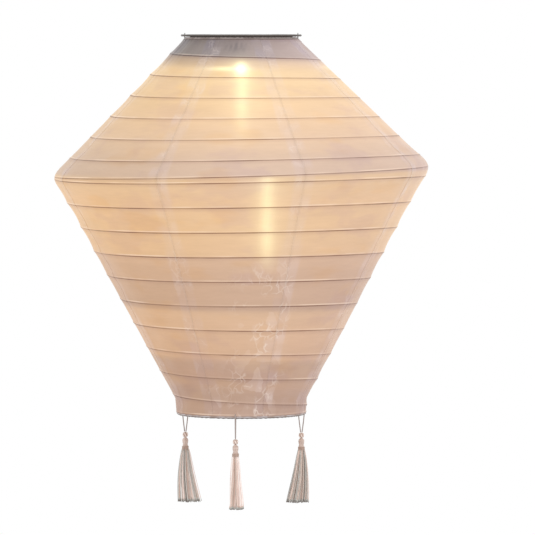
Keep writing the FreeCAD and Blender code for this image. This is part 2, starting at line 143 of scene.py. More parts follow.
def shade_radius(distance):
    """How far the cloth is from the middle, down its slope."""
    starts = np.cumsum([0.0] + SLANTS)
    return np.interp(distance, starts, [ring[0] for ring in SHADE_RINGS])


def wire_distance(turns, angle):
    """How far down the slope the spiral wire is, at a number of turns after the first front crossing."""
    distance = SPIRAL_FIRST_FRONT + SPIRAL_PITCH * turns
    return distance - shade_radius(distance) * np.sin(angle) * SPIRAL_LEAN


# --- Small helpers -----------------------------------------------------------------------------
def srgb(red, green, blue):
    """Linear colour from the usual 0 to 255 values."""
    values = np.array([red, green, blue], float) / 255
    return np.where(values <= 0.04045, values / 12.92, ((values + 0.055) / 1.055) ** 2.4)


def smooth(low, high, value):
    """0 below low, 1 above high, eased in between."""
    share = np.clip((value - low) / (high - low), 0, 1)
    return share * share * (3 - 2 * share)


def hump(value, centre, width):
    """A bell curve that is 1 at its centre."""
    return np.exp(-(((value - centre) / width) ** 2))


def waves(angle, distance, count, seed, low, high):
    """Soft irregular ripples round the shade, from a few sine waves; they close on themselves."""
    source = np.random.default_rng(seed)
    total = np.zeros(np.broadcast(angle, distance).shape)
    for _ in range(count):
        turns = source.integers(low, high)
        along = source.uniform(-60, 60)
        total += np.sin(turns * angle + along * distance + source.uniform(0, 6.28))
    return total / math.sqrt(count)


def new_piece(name, vertices, faces, body, material, smooth_faces=True):
    mesh = bpy.data.meshes.new(name)
    mesh.from_pydata([tuple(v) for v in vertices], [], [tuple(f) for f in faces])
    mesh.update()
    piece = bpy.data.objects.new(name, mesh)
    bpy.context.collection.objects.link(piece)
    mesh.materials.append(material)
    if smooth_faces:
        mesh.polygons.foreach_set("use_smooth", [True] * len(mesh.polygons))
    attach(piece, body)
    return piece


def grid_faces(rows, columns, offset=0, wrap=False, flip=False):
    faces = []
    for row in range(rows - 1):
        for column in range(columns if wrap else columns - 1):
            after = (column + 1) % columns
            a = offset + row * columns + column
            b = offset + row * columns + after
            face = (a, b, b + columns, a + columns)
            faces.append(face[::-1] if flip else face)
    return faces


def closing_faces(rows, columns):
    """The faces that join the last row of a closed ring to its first."""
    last = (rows - 1) * columns
    return [(last + s, last + (s + 1) % columns, (s + 1) % columns, s) for s in range(columns)]


# --- Material helpers --------------------------------------------------------------------------
class Shader:
    """A Principled material whose nodes are added one at a time."""

    def __init__(self, name, **sockets):
        self.material = bpy.data.materials.new(name)
        self.material.use_nodes = True
        self.tree = self.material.node_tree
        self.principled = self.tree.nodes["Principled BSDF"]
        for socket, value in sockets.items():
            self.principled.inputs[socket.replace("_", " ")].default_value = value

    def add(self, kind, **settings):
        node = self.tree.nodes.new(kind)
        for name, value in settings.items():
            setattr(node, name, value)
        return node

    def feed(self, socket, value):
        if isinstance(value, bpy.types.NodeSocket):
            self.tree.links.new(value, socket)
        elif hasattr(value, "__len__") and len(value) == 3 and socket.type == "RGBA":
            socket.default_value = (*value, 1.0)
        else:
            socket.default_value = value

    def math(self, operation, a, b=0.0, c=0.0):
        node = self.add("ShaderNodeMath", operation=operation)
        for socket, value in zip(node.inputs, (a, b, c)):
            self.feed(socket, value)
        return node.outputs[0]

    def ramp_between(self, value, low, high, out_low=0.0, out_high=1.0):
        node = self.add("ShaderNodeMapRange", interpolation_type="SMOOTHSTEP")
        for socket, number in zip(node.inputs, (value, low, high, out_low, out_high)):
            self.feed(socket, number)
        return node.outputs[0]

    def mix(self, factor, a, b, blend="MIX"):
        node = self.add("ShaderNodeMix", data_type="RGBA", blend_type=blend)
        self.feed(node.inputs[0], factor)
        self.feed(node.inputs[6], a)
        self.feed(node.inputs[7], b)
        return node.outputs[2]

    def place(self, stretch=(1, 1, 1)):
        where = self.add("ShaderNodeTexCoord").outputs["Object"]
        node = self.add("ShaderNodeMapping")
        self.feed(node.inputs["Vector"], where)
        node.inputs["Scale"].default_value = stretch
        return node.outputs[0]

    def noise(self, scale, detail=3.0, stretch=(1, 1, 1), roughness=0.5, place=None):
        node = self.add("ShaderNodeTexNoise")
        self.feed(node.inputs["Vector"], place or self.place(stretch))
        node.inputs["Scale"].default_value = scale
        node.inputs["Detail"].default_value = detail
        node.inputs["Roughness"].default_value = roughness
        return node.outputs["Fac"]

    def bent_place(self, stretch, amount):
        """Positions pushed about a little, so that a pattern's edges aren't ruler straight."""
        bent = self.add("ShaderNodeMix", data_type="VECTOR")
        self.feed(bent.inputs[0], amount)
        self.feed(bent.inputs[4], self.place(stretch))
        blur = self.add("ShaderNodeTexNoise")
        self.feed(blur.inputs["Vector"], self.place())
        blur.inputs["Scale"].default_value = 60
        self.feed(bent.inputs[5], blur.outputs["Color"])
        return bent.outputs[1]

    def bump(self, height, strength, distance):
        node = self.add("ShaderNodeBump")
        node.inputs["Strength"].default_value = strength
        node.inputs["Distance"].default_value = distance
        self.feed(node.inputs["Height"], height)
        self.feed(self.principled.inputs["Normal"], node.outputs[0])

    def tint(self, share, colour, tint):
        """The colour, multiplied by a tint where share is 1."""
        return self.mix(share, colour, self.mix(1.0, colour, tint, "MULTIPLY"))

    def attribute(self, name):
        return self.add("ShaderNodeAttribute", attribute_name=name)


# --- Materials ---------------------------------------------------------------------------------
def wire_lines(made, colour):
    """The line along each wire, all painted light and shade: a soft painted shadow below it, a painted
    highlight above it, and a dark line on it, the wire's painted shadow through the cloth.
    """
    cell = made.add("ShaderNodeUVMap", uv_map="cell").outputs[0]
    parts = made.add("ShaderNodeSeparateXYZ")
    made.feed(parts.inputs[0], cell)
    from_above, from_below = parts.outputs[0], parts.outputs[1]

    dark_share = made.ramp_between(made.noise(9, 2.0), 0.36, 0.62, 0.45, 0.95)
    thick = made.math("MULTIPLY_ADD", made.noise(60, 2.0), 0.7, 0.45)
    line = made.math("MINIMUM", from_above, made.math("MULTIPLY", from_below, 1.6))
    # The dark line on the wire: the wire's painted shadow, seen through the cloth.
    dark = made.ramp_between(line, made.math("MULTIPLY", thick, 0.3), thick, 1.0, 0.0)
    shadow = made.ramp_between(from_above, 0.3, 4.5, 0.28, 0.0)
    # A painted highlight just above the wire.
    over = made.math("ABSOLUTE", made.math("SUBTRACT", from_below, 1.15))
    highlight_edge = made.ramp_between(over, 0.1, 0.75, 0.50, 0.0)
    highlight_share = made.ramp_between(made.noise(26, 2.0), 0.40, 0.66, 0.15, 1.0)
    colour = made.tint(shadow, colour, srgb(205, 192, 200))
    colour = made.mix(made.math("MULTIPLY", highlight_edge, highlight_share), colour, srgb(250, 226, 204))
    return made.tint(made.math("MULTIPLY", dark, dark_share), colour, srgb(160, 134, 126))


def crinkle_light(made, colour):
    """Painted light and shade on faint facets, and painted highlights along a few creases, where the mesh
    says that the cloth is crinkled.
    """
    crinkle = made.attribute("crinkle").outputs["Fac"]
    folded = made.add("ShaderNodeTexVoronoi")
    made.feed(folded.inputs["Vector"], made.bent_place((1.0, 1.0, 0.55), 0.012))
    folded.inputs["Scale"].default_value = 100
    facet = made.add("ShaderNodeSeparateColor")
    made.feed(facet.inputs[0], folded.outputs["Color"])
    # Painted light and shade: each facet is made lighter by its own amount.
    tone = made.math("MULTIPLY", made.ramp_between(facet.outputs[0], 0.45, 1.0), crinkle)
    colour = made.mix(made.math("MULTIPLY", tone, 0.20), colour, srgb(238, 219, 208))

    # Painted highlights along the creases.
    fold_edge = made.add("ShaderNodeTexVoronoi", feature="DISTANCE_TO_EDGE")
    made.feed(fold_edge.inputs["Vector"], made.bent_place((1.0, 1.0, 0.32), 0.02))
    fold_edge.inputs["Scale"].default_value = 150
    here = made.ramp_between(made.noise(55, 2.0), 0.50, 0.62)
    crease = made.ramp_between(fold_edge.outputs["Distance"], 0.0, 0.10, 1.0, 0.0)
    crease = made.math("MULTIPLY", crease, made.math("MULTIPLY", crinkle, here))
    return made.mix(made.math("MULTIPLY", crease, 0.30), colour, srgb(246, 232, 220)), crease


def cloth_material():
    """Pearl nylon lit from inside: the light that comes through is in the mesh's own colours."""
    made = Shader("pearl_nylon", Roughness=0.5, Sheen_Weight=0.15, Sheen_Roughness=0.4, IOR=1.4)
    lit = made.attribute("lit").outputs["Color"]
    weft = made.noise(900, 2.0, (0.10, 0.10, 1.0))
    weave = made.noise(2600, 1.0)
    streaks = made.noise(130, 3.0, (0.16, 0.16, 1.0), 0.6)
    grain = made.math("ADD", made.math("MULTIPLY", weft, 0.08), made.math("MULTIPLY", weave, 0.04))
    grain = made.math("ADD", grain, made.math("MULTIPLY", streaks, 0.16))
    colour = made.mix(1.0, lit, made.math("ADD", grain, 0.86), "MULTIPLY")

    # Cloudy bluish patches: painted reflection of the room's light on the cloth.
    reflection_cloud = made.ramp_between(made.noise(17, 3.0, (1, 1, 1.9), 0.6), 0.50, 0.62)
    colour = made.tint(made.math("MULTIPLY", reflection_cloud, 0.55), colour, srgb(243, 241, 255))
    warm = made.ramp_between(made.noise(21, 2.0, (1, 1, 2.2), 0.6), 0.54, 0.70)
    colour = made.tint(made.math("MULTIPLY", warm, 0.5), colour, srgb(255, 246, 226))
    colour, crease = crinkle_light(made, wire_lines(made, colour))

    made.feed(made.principled.inputs["Base Color"], made.mix(1.0, colour, srgb(178, 178, 178), "MULTIPLY"))
    made.feed(made.principled.inputs["Emission Color"], colour)
    made.principled.inputs["Emission Strength"].default_value = 0.62
    threads = made.math("ADD", weft, made.math("MULTIPLY", weave, 0.3))
    made.bump(made.math("ADD", made.math("MULTIPLY", crease, 0.8), threads), 0.25, 0.0004)
    return made.material


def hem_material(name, painted_shade_colour, painted_lit_colour):
    """Rolled cloth with a painted glow: painted light where it faces out, painted shade underneath."""
    made = Shader(name, Roughness=0.5, Sheen_Weight=0.15)
    tone = made.attribute("tone").outputs["Fac"]
    puckers = made.ramp_between(made.noise(150, 3.0, (1, 1, 0.5)), 0.35, 0.65)
    # Painted light and shade on the puckers: lighter where the pucker noise is high.
    lit = made.mix(puckers, painted_shade_colour, painted_lit_colour)
    # Painted shade: dark underneath, where the tone is low.
    colour = made.mix(tone, srgb(74, 62, 60), lit)
    made.feed(made.principled.inputs["Base Color"], made.mix(1.0, colour, srgb(205, 205, 205), "MULTIPLY"))
    made.feed(made.principled.inputs["Emission Color"], colour)
    made.principled.inputs["Emission Strength"].default_value = 0.4
    made.bump(puckers, 0.5, 0.0006)
    return made.material


def metal_material(name, colour, roughness=0.32):
    made = Shader(name, Metallic=1.0, Roughness=roughness)
    drawn = made.noise(1500, 3.0, (1, 1, 0.1))
    made.feed(made.principled.inputs["Base Color"],
              made.mix(made.ramp_between(drawn, 0.3, 0.7), tuple(0.75 * c for c in colour), tuple(colour)))
    rough = made.ramp_between(drawn, 0.3, 0.7, roughness - 0.08, roughness + 0.12)
    made.feed(made.principled.inputs["Roughness"], rough)
    made.bump(drawn, 0.15, 0.0002)
    return made.material


def plastic_material(name, colour, roughness=0.55, grain=1800, strength=0.25):
    made = Shader(name, Roughness=roughness, IOR=1.46)
    fine = made.noise(grain, 4.0)
    broad = made.noise(60, 3.0)
    tone = made.mix(made.ramp_between(broad, 0.35, 0.7), tuple(0.85 * c for c in colour), tuple(colour))
    made.feed(made.principled.inputs["Base Color"], tone)
    rough = made.ramp_between(fine, 0.3, 0.7, roughness - 0.1, roughness + 0.1)
    made.feed(made.principled.inputs["Roughness"], rough)
    made.bump(fine, strength, 0.0002)
    return made.material


def glass_material():
    made = Shader("clear_window", Roughness=0.04, IOR=1.35, Transmission_Weight=1.0)
    smears = made.noise(90, 3.0)
    made.feed(made.principled.inputs["Roughness"], made.ramp_between(smears, 0.4, 0.8, 0.02, 0.08))
    made.principled.inputs["Base Color"].default_value = (0.86, 0.90, 0.94, 1)
    return made.material


def cell_material():
    """Blue crystalline silicon with thin silver fingers and two bus bars."""
    made = Shader("solar_cell_blue", Roughness=0.25, Metallic=0.2)
    crystal = made.add("ShaderNodeTexVoronoi")
    made.feed(crystal.inputs["Vector"], made.place())
    crystal.inputs["Scale"].default_value = 150
    grey = made.add("ShaderNodeSeparateColor")
    made.feed(grey.inputs[0], crystal.outputs["Color"])
    blue = made.mix(grey.outputs[0], srgb(16, 26, 66), srgb(34, 58, 120))
    parts = made.add("ShaderNodeSeparateXYZ")
    made.feed(parts.inputs[0], made.place())
    finger = made.math("ABSOLUTE", made.math("SINE", made.math("MULTIPLY", parts.outputs[0], 2100)))
    fingers = made.ramp_between(finger, 0.96, 0.995)
    bar = made.math("ABSOLUTE", made.math("SUBTRACT", made.math("ABSOLUTE", parts.outputs[1]), 0.010))
    bars = made.ramp_between(bar, 0.0007, 0.0010, 1.0, 0.0)
    lines = made.math("MAXIMUM", fingers, bars)
    made.feed(made.principled.inputs["Base Color"], made.mix(lines, blue, srgb(180, 182, 186)))
    return made.material


def led_material():
    made = Shader("led_resin", Roughness=0.12, IOR=1.5)
    glow = made.noise(400, 2.0)
    colour = made.mix(glow, srgb(255, 226, 170), srgb(255, 246, 222))
    made.feed(made.principled.inputs["Base Color"], colour)
    made.feed(made.principled.inputs["Emission Color"], colour)
    made.principled.inputs["Emission Strength"].default_value = 4.0
    return made.material


def thread_material(name, tones, glow=0.12, lift=0.0):
    """Silky thread; each strand has its own tone in the mesh, from dark to light along the ramp."""
    made = Shader(name, Roughness=0.38, Sheen_Weight=0.25)
    tone = made.attribute("tone").outputs["Fac"]
    fibre = made.noise(2400, 3.0, (1, 1, 0.08))
    fine = made.math("MULTIPLY_ADD", fibre, 0.3, lift - 0.1)
    share = made.math("ADD", made.math("MULTIPLY", tone, 0.9), fine)
    ramp = made.add("ShaderNodeValToRGB")
    elements = ramp.color_ramp.elements
    while len(elements) < len(tones):
        elements.new(0.5)
    for number, (element, tint) in enumerate(zip(elements, tones)):
        element.position = number / (len(tones) - 1)
        element.color = (*srgb(*tint), 1)
    made.feed(ramp.inputs[0], share)
    made.feed(made.principled.inputs["Base Color"], ramp.outputs[0])
    # Painted glow: the thread's colours are also given off as weak light.
    made.feed(made.principled.inputs["Emission Color"], ramp.outputs[0])
    made.principled.inputs["Emission Strength"].default_value = glow
    made.bump(fibre, 0.3, 0.0002)
    return made.material


def floor_material():
    made = Shader("pale_floor", Roughness=0.8)
    spots = made.noise(3, 2.0)
    made.feed(made.principled.inputs["Base Color"], made.mix(spots, (0.86, 0.86, 0.86), (0.88, 0.88, 0.88)))
    return made.material


CLOTH_MATERIAL = cloth_material()
BOTTOM_HEM = hem_material("hem_nylon", srgb(168, 146, 134), srgb(196, 186, 186))
# The top hem is the same nylon painted darker: painted shade of the light unit's cup.
TOP_HEM = hem_material("top_hem_nylon_shaded", srgb(128, 113, 108), srgb(152, 139, 135))
STEEL = metal_material("stainless_wire", (0.50, 0.49, 0.48))
SPRING = metal_material("spring_wire", (0.42, 0.37, 0.33), 0.4)
SKIRT_THREAD = thread_material("tassel_skirt_thread", (
    (62, 48, 44), (128, 118, 110), (190, 191, 186), (208, 182, 168), (233, 214, 205), (247, 240, 237)), 0.2)
HEAD_THREAD = thread_material("tassel_head_thread", (
    (88, 68, 60), (168, 144, 132), (220, 198, 186), (244, 233, 226)))
BINDING_THREAD = thread_material("tassel_binding_thread", ((84, 64, 56), (154, 128, 114), (218, 194, 180)))
CORD_THREAD = thread_material("tassel_cord_thread", ((96, 84, 80), (150, 136, 130), (200, 186, 178)),
                              lift=0.45)


# --- Camera, light and floor -------------------------------------------------------------------
EYE = Vector((0.0212, -4.05, 0.010))
TARGET = Vector((0.0212, 0.0, -0.1865))
VIEW_WIDTH = 432.815 * MM
SENSOR_WIDTH = 36
MIDDLE = Vector((0, 0, -0.18))
# (name, place, watts, size)
LAMPS = (("key_light", (1.6, -2.4, 1.4), 18, 1.6), ("fill_light", (-2.0, -1.6, 0.2), 6, 2.0))
FLOOR_REACH = 56.0
FLOOR_DEPTH = 12.0


def stage_set():
    camera_data = bpy.data.cameras.new("camera")
    camera = bpy.data.objects.new("camera", camera_data)
    bpy.context.collection.objects.link(camera)
    camera.location = EYE
    camera.rotation_euler = (TARGET - EYE).to_track_quat("-Z", "Y").to_euler()
    camera_data.sensor_width = SENSOR_WIDTH
    camera_data.lens = SENSOR_WIDTH * abs(EYE.y) / VIEW_WIDTH
    camera_data.clip_end = 120
    bpy.context.scene.camera = camera

    world = bpy.data.worlds.new("white_room")
    world.use_nodes = True
    world.node_tree.nodes["Background"].inputs[0].default_value = (1, 1, 1, 1)
    world.node_tree.nodes["Background"].inputs[1].default_value = 1.0
    bpy.context.scene.world = world
    for name, place, power, size in LAMPS:
        data = bpy.data.lights.new(name, "AREA")
        data.energy = power
        data.size = size
        light = bpy.data.objects.new(name, data)
        light.location = place
        light.rotation_euler = (MIDDLE - Vector(place)).to_track_quat("-Z", "Y").to_euler()
        bpy.context.collection.objects.link(light)

    floor = bpy.data.meshes.new("floor")
    corners = np.linspace(0, FULL_TURN, 64, endpoint=False)
    rim = [(FLOOR_REACH * math.cos(a), FLOOR_REACH * math.sin(a), -FLOOR_DEPTH) for a in corners]
    floor.from_pydata(rim, [], [tuple(range(len(rim)))])
    floor_object = bpy.data.objects.new("floor", floor)
    floor.materials.append(floor_material())
    bpy.context.collection.objects.link(floor_object)
    bpy.context.scene.view_settings.view_transform = "Standard"


stage_set()


# --- Tassel cords ------------------------------------------------------------------------------
TASSEL_ANGLES = (-116.0, -5.0, 107.0)
CORD_DIAMETER = 0.9 * MM
KNOT_DROP = 20.0 * MM
KNOT_RADIUS = 2.2 * MM
# (outward, up) from the rim's centre: from the knot, over the rim and back to the knot, in mm
CORD_ROUTE = ((-0.6, -17.5), (-2.25, -6.0), (-2.7, 2.7), (2.7, 2.7), (2.25, -6.0), (0.6, -17.5))


def tassel_frame(angle_deg):
    """The rim's centre under a tassel, the outward direction and the rim's own direction there."""
    angle = math.radians(angle_deg)
    outward = Vector((math.sin(angle), -math.cos(angle), 0))
    along = Vector((math.cos(angle), math.sin(angle), 0))
    return outward * BOTTOM_RING + Vector((0, 0, BOTTOM_HEIGHT)), outward, along


def tassel_cord(number, angle_deg):
    centre, outward, _ = tassel_frame(angle_deg)
    points = [centre + outward * (x * MM) + Vector((0, 0, z * MM)) for x, z in CORD_ROUTE]
    data = bpy.data.curves.new(f"tassel_cord_{number}", "CURVE")
    data.dimensions = "3D"
    data.bevel_depth = CORD_DIAMETER / 2
    data.bevel_resolution = 4
    data.resolution_u = 16
    data.use_fill_caps = True
    spline = data.splines.new("NURBS")
    spline.points.add(len(points) - 1)
    for target, point in zip(spline.points, points):
        target.co = (*point, 1)
    spline.order_u = 3
    spline.use_endpoint_u = True
    cord = bpy.data.objects.new(f"tassel_cord_{number}", data)
    bpy.context.collection.objects.link(cord)
    data.materials.append(CORD_THREAD)
    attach(cord, f"tassel_{number}_loop")
    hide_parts(f"tassel_{number}_cord")


for tassel, tassel_angle in enumerate(TASSEL_ANGLES, start=1):
    tassel_cord(tassel, tassel_angle)


# --- Shade cloth -------------------------------------------------------------------------------
# Colours of the lit cloth down the slope at the front, as (share of the slope, red, green, blue)
LIT_BANDS = (
    (0.000, 150, 136, 133), (0.030, 156, 142, 138), (0.054, 160, 145, 140), (0.058, 192, 168, 150),
    (0.075, 214, 184, 154), (0.095, 236, 203, 160), (0.132, 240, 206, 161), (0.200, 238, 203, 161),
    (0.265, 231, 197, 162), (0.330, 221, 190, 162), (0.365, 212, 183, 160), (0.402, 211, 183, 162),
    (0.410, 225, 192, 156), (0.464, 227, 190, 152), (0.525, 227, 190, 150), (0.600, 223, 186, 149),
    (0.606, 211, 176, 148), (0.668, 202, 168, 143), (0.738, 197, 164, 140), (0.745, 214, 178, 147),
    (0.800, 211, 174, 144), (0.860, 207, 170, 141), (0.868, 193, 160, 135), (0.930, 188, 154, 131),
    (0.940, 184, 152, 132), (1.000, 180, 150, 133),
)
# Sides where the lamp shines through most: (angle, drift lower down, strength)
LIGHT_LOBES = ((0, 8, 1.0), (92, -7, 0.4), (181, 9, 0.55), (268, -6, 0.4))
LAMP_TINT = np.array([0.50, 0.55, 0.30])
LAMP_DEPTH = 25.0 * MM
LOW_STREAK_RADIUS = 150.0 * MM
CUP_SHADOW_ENDS = 0.054
HOOP_SHARE = 0.402


def side_shading(angle, share):
    """How much of each colour the turned sides keep; the left loses more blue low down."""
    left = smooth(-0.2, 1.0, -np.sin(angle))[..., None]
    right = smooth(0.1, 0.9, np.sin(angle))[..., None]
    low_down = smooth(0.40, 0.42, share)[..., None]
    left_loss = np.array([0.16, 0.19, 0.26]) * (1 - low_down) + np.array([0.04, 0.10, 0.21]) * low_down
    return (1 - left * left_loss) * (1 - right * np.array([0.05, 0.06, 0.03]))


def cup_shading(angle, distance, radius, share):
    """The shadow of the light unit's cup on the top band, darker still in a patch near the front."""
    shut_in = (1 - smooth(CUP_SHADOW_ENDS, 0.059, share))[..., None]
    aside = (0.45 * np.sin(angle) + 0.10 * np.abs(np.sin(angle)))[..., None]
    kept = 1 + shut_in * aside * np.array([1.0, 0.85, 0.72])
    first_turn = (smooth(CUP_SHADOW_ENDS, 0.059, share) * (1 - smooth(0.070, 0.095, share)))[..., None]
    kept = kept * (1 + first_turn * 0.22 * np.sin(angle)[..., None])
    front_dark_patch = hump((angle + 0.08) * radius, 0, 9 * MM) * hump(distance, 9 * MM, 6 * MM)
    front_dark_patch = front_dark_patch * (0.75 + 0.35 * waves(angle * 3, distance * 9, 5, 21, 9, 30))
    return kept * (1 - 0.34 * np.clip(front_dark_patch, 0, 1)[..., None] * np.array([1.0, 0.95, 0.85]))


def lamp_glow(angle, radius, height, share):
    """The lamp seen through the cloth: a hot spot, its flare, and a streak down each cone."""
    upper = smooth(0.060, 0.09, share) * (1 - smooth(0.16, 0.34, share))
    lower = smooth(HOOP_SHARE, 0.412, share) * (1 - smooth(0.56, 0.66, share))
    below_lamp = height + LAMP_DEPTH
    total = np.zeros(np.shape(share))
    for centre_deg, drift_deg, strength in LIGHT_LOBES:
        turn = np.angle(np.exp(1j * (angle - math.radians(centre_deg))))
        across = turn * radius
        drift = math.radians(drift_deg) * LOW_STREAK_RADIUS
        near = np.abs(turn) < 1.2
        top_streak = 0.62 * hump(across, 1.0 * MM, 5.5 * MM) + 0.20 * hump(across, 2.0 * MM, 16 * MM)
        low_streak = 0.80 * hump(across, drift, 5.5 * MM) + 0.30 * hump(across, drift, 15 * MM)
        spot = hump(np.hypot(across, below_lamp), 0, 4.0 * MM) * 1.6
        halo = hump(np.hypot(across, below_lamp * 1.2), 0, 10 * MM) * 0.28
        flare = hump(across, -11 * MM, 16 * MM) * hump(below_lamp, 0, 1.5 * MM) * 0.62
        streaks = 0.60 * top_streak * upper + 0.48 * low_streak * lower
        total += (streaks + spot + halo + flare) * strength * near
    return total[..., None] * LAMP_TINT


def lit_colour(angle, distance, radius, height):
    """The light that the cloth passes, as linear colour for each point."""
    slide = SPIRAL_PITCH * np.arcsin(np.sin(angle)) / FULL_TURN - radius * np.sin(angle) * SPIRAL_LEAN
    share = (distance - slide) / TOTAL_SLANT
    stops = [band[0] for band in LIT_BANDS]
    colours = np.array([srgb(*band[1:]) for band in LIT_BANDS])
    colour = np.stack([np.interp(share, stops, colours[:, i]) for i in range(3)], -1)
    colour = colour * side_shading(angle, share) * cup_shading(angle, distance, radius, share)
    colour = colour + lamp_glow(angle, radius, height, share)
    ring = hump(height, -27 * MM, 14 * MM) * smooth(0.056, 0.07, share) * 0.05
    return colour + ring[..., None] * np.array([0.50, 0.50, 0.30])


def equator_inset(distance):
    """The cloth is a little full either side of the hoop, where it rounds it."""
    return -1.3 * MM * hump(distance, SLANTS[0], 20 * MM)


def cloth_offset(angle, distance, from_above, from_below):
    """How far the cloth stands out from its cone: drawn in between wires, puckered along them."""
    gap = from_above + from_below
    share = np.where(gap > 1e-6, from_above / np.maximum(gap, 1e-6), 0)
    depth = np.minimum(gap / SPIRAL_PITCH, 1.2) * 0.5 * MM
    nearest = np.minimum(from_above, from_below)
    draw = -depth * 4 * share * (1 - share)
    ridge = 0.25 * MM * np.exp(-((nearest / (1.0 * MM)) ** 2)) * (1 - 0.8 * hump(distance, SLANTS[0], 3 * MM))
    pucker = waves(angle, distance, 5, 3, 30, 90) * 0.12 * MM * np.exp(-nearest / (5 * MM))
    slack = waves(angle, distance, 4, 5, 5, 22) * 0.45 * MM * 4 * share * (1 - share)
    return draw + ridge + pucker + slack - equator_inset(distance)


# Where the mesh rows lie between one wire and the next
CELL_SHARES = (0.0, 0.035, 0.08, 0.15, 0.27, 0.42, 0.58, 0.73, 0.85, 0.92, 0.965)
GORE_COLUMNS = 37
GORE_TURN = FULL_TURN / GORE_COUNT
SEAM_HALF_WIDTH = 8 * MM
SPIRAL_TURNS = range(-1, 17)
CLOTH_DRAWN = 0.22 * MM
CRINKLED_SIDE = math.radians(9.5)


def cloth_rows(angles):
    """Slope distances of every mesh row at each column, and how far each row is from the wires."""
    limits = [np.zeros_like(angles), np.full_like(angles, TOTAL_SLANT), np.full_like(angles, SLANTS[0])]
    for turn in SPIRAL_TURNS:
        line = wire_distance(turn + angles / FULL_TURN, angles)
        inside = (line > SPIRAL_END_MARGIN * 0.5) & (line < TOTAL_SLANT - SPIRAL_END_MARGIN * 0.5)
        limits.append(np.where(inside, line, np.where(line < TOTAL_SLANT / 2, 0.0, TOTAL_SLANT)))
    limits = np.sort(np.array(limits), axis=0)
    rows, above, below = [], [], []
    for upper, lower in zip(limits, limits[1:]):
        for share in CELL_SHARES:
            rows.append(upper + (lower - upper) * share)
            above.append((lower - upper) * share)
            below.append((lower - upper) * (1 - share))
    rows.append(limits[-1])
    above.append(np.zeros_like(angles))
    below.append(np.zeros_like(angles))
    return np.array(rows), np.array(above), np.array(below)


def shade_cloth(number):
    """One gore: an outer and an inner face, joined round the edge, with seam strips at both sides."""
    angles = FIRST_SEAM + (number - 1 + np.linspace(0, 1, GORE_COLUMNS)) * GORE_TURN
    angles = np.angle(np.exp(1j * angles))
    if angles[-1] < angles[0]:
        angles = np.where(angles < 0, angles + FULL_TURN, angles)
    distance, above, below = cloth_rows(angles)
    angle = np.broadcast_to(angles, distance.shape)
    radius = shade_radius(distance)
    seam = np.minimum(angle - angles[0], angles[-1] - angle) * radius
    offset = cloth_offset(angle, distance, above, below)
    offset = offset + 0.25 * MM * (1 - smooth(SEAM_HALF_WIDTH * 0.9, SEAM_HALF_WIDTH * 1.05, seam))
    points = shade_points(distance, angle, -offset)
    colour = lit_colour(angle, distance, radius, points[..., 2])
    # Painted reflection: the seam strips are tinted bluer, more in some places along each seam than in
    # others, and get the painted crinkle light too.
    strip = (1 - smooth(SEAM_HALF_WIDTH * 0.93, SEAM_HALF_WIDTH * 1.05, seam))[..., None]
    pale = 0.65 + 0.35 * waves(angle[:, :1] * 0, distance[:, :1] * 6 + number, 4, 31, 1, 3)[..., None]
    stitch = hump(seam, 0, 0.6 * MM)[..., None] * 0.02
    colour = colour * (1 + strip * np.clip(pale, 0.1, 1.3) * np.array([-0.012, 0.022, 0.135])) * (1 - stitch)
    crinkle = hump((angle - CRINKLED_SIDE) * radius, 0, 19 * MM)
    crinkle = crinkle * smooth(0.57, 0.70, distance / TOTAL_SLANT)
    crinkle = crinkle + strip[..., 0] * np.clip(pale[..., 0], 0.1, 1.3) * 0.55

    outer = points.reshape(-1, 3)
    inner = shade_points(distance, angle, -offset + CLOTH_DRAWN).reshape(-1, 3)
    count, columns = len(outer), GORE_COLUMNS
    rows = len(distance)
    faces = grid_faces(rows, columns, flip=True) + grid_faces(rows, columns, count)
    for row in range(rows - 1):
        for column, flip in ((0, False), (columns - 1, True)):
            a = row * columns + column
            side = (a, a + columns, a + columns + count, a + count)
            faces.append(side[::-1] if flip else side)
    for column in range(columns - 1):
        for row, flip in ((0, True), (rows - 1, False)):
            a = row * columns + column
            end = (a, a + 1, a + 1 + count, a + count)
            faces.append(end[::-1] if flip else end)
    name = f"shade_cloth_{number}"
    gore = new_piece(name, np.concatenate([outer, inner]), faces, "shade", CLOTH_MATERIAL)
    paint_cloth(gore.data, colour.reshape(-1, 3), crinkle.reshape(-1), above.reshape(-1), below.reshape(-1))
    face_count = 2 * (rows - 1) * (columns - 1)
    smooth_flags = np.arange(len(gore.data.polygons)) < face_count
    gore.data.polygons.foreach_set("use_smooth", smooth_flags)
    tidy_mesh(gore.data)
    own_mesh(gore)
    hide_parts(*gore_nodes(number))
    area = sum((a[0] + b[0]) / 2 * slant for a, b, slant in zip(SHADE_RINGS, SHADE_RINGS[1:], SLANTS))
    area = area * GORE_TURN + 2 * SEAM_HALF_WIDTH * TOTAL_SLANT
    return gore


